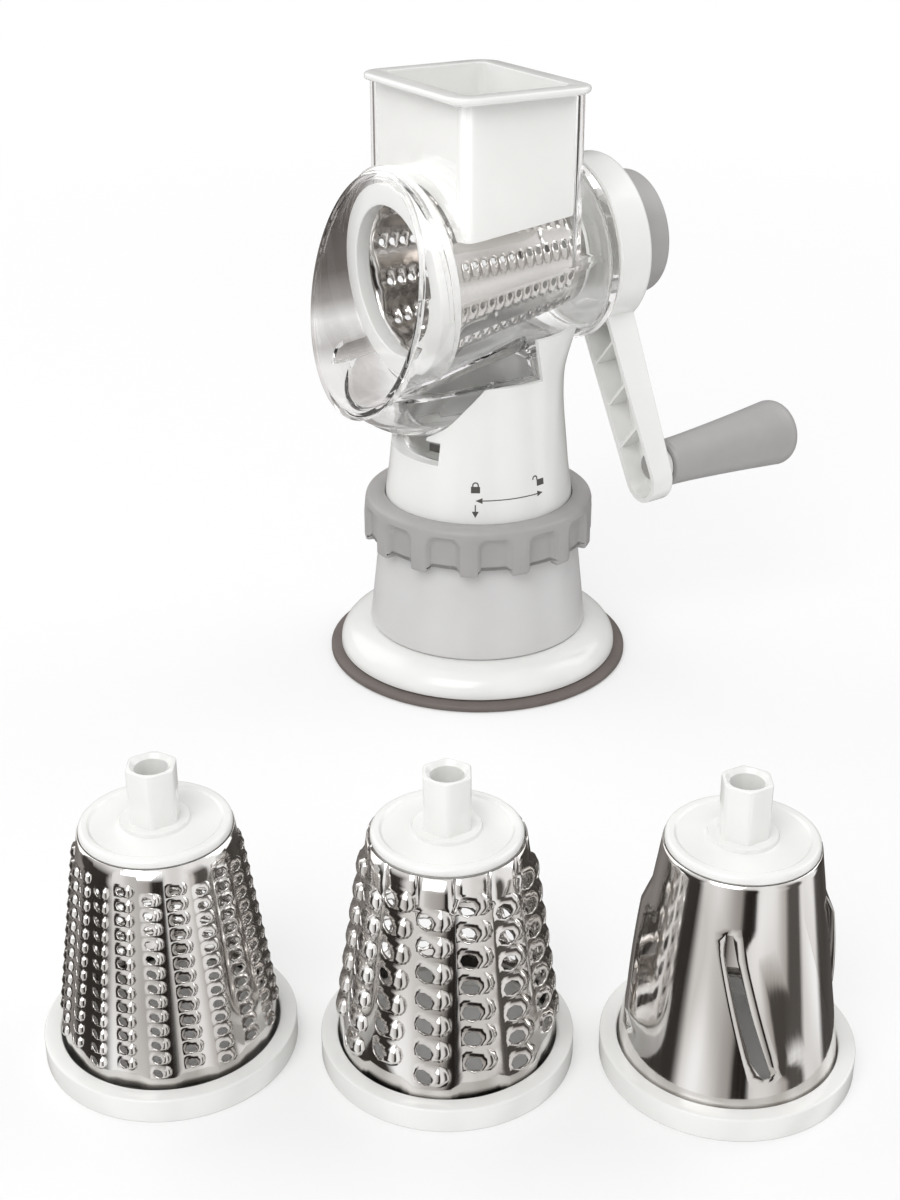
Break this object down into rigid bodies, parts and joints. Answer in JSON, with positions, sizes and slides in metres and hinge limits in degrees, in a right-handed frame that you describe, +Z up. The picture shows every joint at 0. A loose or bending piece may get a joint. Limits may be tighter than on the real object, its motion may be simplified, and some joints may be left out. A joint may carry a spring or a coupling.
{
  "type": "hand cranked vegetable cutter",
  "caption": "Hand cranked drum grater on a suction base: clear housing with a pusher, a steel grating drum, a crank with a release knob, and spare drums beside it.",
  "frame": {"origin": "centre of the suction cup's underside, on the table", "axes": "+Z up along the column, -Y towards the drum's mouth, +Y towards the crank"},
  "size_m": [0.38, 0.3886, 0.2457],
  "materials": {
    "white_abs": "glossy white moulded plastic",
    "light_grey_abs": "satin light grey moulded plastic",
    "grey_abs": "satin mid grey moulded plastic",
    "clear_san": "clear glossy moulded plastic",
    "rubber": "soft taupe grey rubber",
    "polished_steel": "bright polished stainless sheet",
    "plain_steel": "plain bright steel",
    "nylon": "natural white nylon"
  },
  "bodies": {
    "base": {"suction_cup": "rubber", "base_flange": "white_abs", "base_screw_1": "plain_steel", "base_screw_2": "plain_steel", "base_screw_3": "plain_steel", "base_screw_4": "plain_steel", "lower_column": "light_grey_abs", "upper_column": "white_abs", "column_screw_1": "plain_steel", "column_screw_2": "plain_steel", "column_screw_3": "plain_steel", "stem_spring": "plain_steel"},
    "lock_ring": {"lock_ring": "grey_abs", "ring_cam": "nylon"},
    "stem": {"lift_stem": "nylon", "stem_cross_pin": "plain_steel"},
    "housing": {"grater_housing": "clear_san", "rear_bush": "nylon"},
    "pusher": {"pusher": "white_abs"},
    "crank": {"crank_arm": "white_abs", "retaining_ring": "plain_steel", "grip_collar": "nylon", "grip_pin": "plain_steel", "knob_spring": "plain_steel"},
    "release_knob": {"release_knob": "grey_abs"},
    "grip": {"grip": "grey_abs"},
    "drum": {"drum_shell": "polished_steel", "drum_rim_ring": "white_abs", "drum_hub": "white_abs"},
    "fine_drum": {"fine_drum_shell": "polished_steel", "fine_drum_rim_ring": "white_abs", "fine_drum_hub": "white_abs"},
    "coarse_drum": {"coarse_drum_shell": "polished_steel", "coarse_drum_rim_ring": "white_abs", "coarse_drum_hub": "white_abs"},
    "slicer_drum": {"slicer_drum_shell": "polished_steel", "slicer_drum_rim_ring": "white_abs", "slicer_drum_hub": "white_abs"}
  },
  "joints": [
    {"name": "lock_turn", "type": "hinge", "parent": "base", "child": "lock_ring", "pos_m": [0, 0, 0.0645], "axis": [0, 0, -1], "range_deg": [0, 45]},
    {"name": "stem_lift", "type": "slide", "parent": "base", "child": "stem", "axis": [0, 0, 1], "range_m": [0, 0.004], "deforming": ["stem_spring"]},
    {"name": "housing_lift_off", "type": "slide", "parent": "base", "child": "housing", "axis": [0, 0, 1], "range_m": [0, 0.06]},
    {"name": "pusher_slide", "type": "slide", "parent": "housing", "child": "pusher", "axis": [0, 0, 1], "range_m": [0, 0.07]},
    {"name": "crank_turn", "type": "hinge", "parent": "housing", "child": "crank", "pos_m": [0, -0.041, 0.1703], "axis": [0, 0.9986, 0.0523], "continuous": true},
    {"name": "knob_press", "type": "slide", "parent": "crank", "child": "release_knob", "axis": [0, -0.9986, -0.0523], "range_m": [0, 0.004], "stiffness_N_per_m": 700},
    {"name": "grip_spin", "type": "hinge", "parent": "crank", "child": "grip", "pos_m": [0.04624, -0.03645, 0.08345], "axis": [0, 0.9986, 0.0523], "continuous": true},
    {"name": "drum_pull_out", "type": "slide", "parent": "crank", "child": "drum", "axis": [0, -0.9986, -0.0523], "range_m": [0, 0.11]},
    {"name": "fine_drum_lift", "type": "slide", "parent": "base", "child": "fine_drum", "axis": [0, 0, 1], "range_m": [0, 0.06]},
    {"name": "coarse_drum_lift", "type": "slide", "parent": "base", "child": "coarse_drum", "axis": [0, 0, 1], "range_m": [0, 0.06]},
    {"name": "slicer_drum_lift", "type": "slide", "parent": "base", "child": "slicer_drum", "axis": [0, 0, 1], "range_m": [0, 0.06]}
  ],
  "couplings": [
    {"joint": "stem_lift", "follows": "lock_turn", "m_per_rad": 0.0050929}
  ]
}
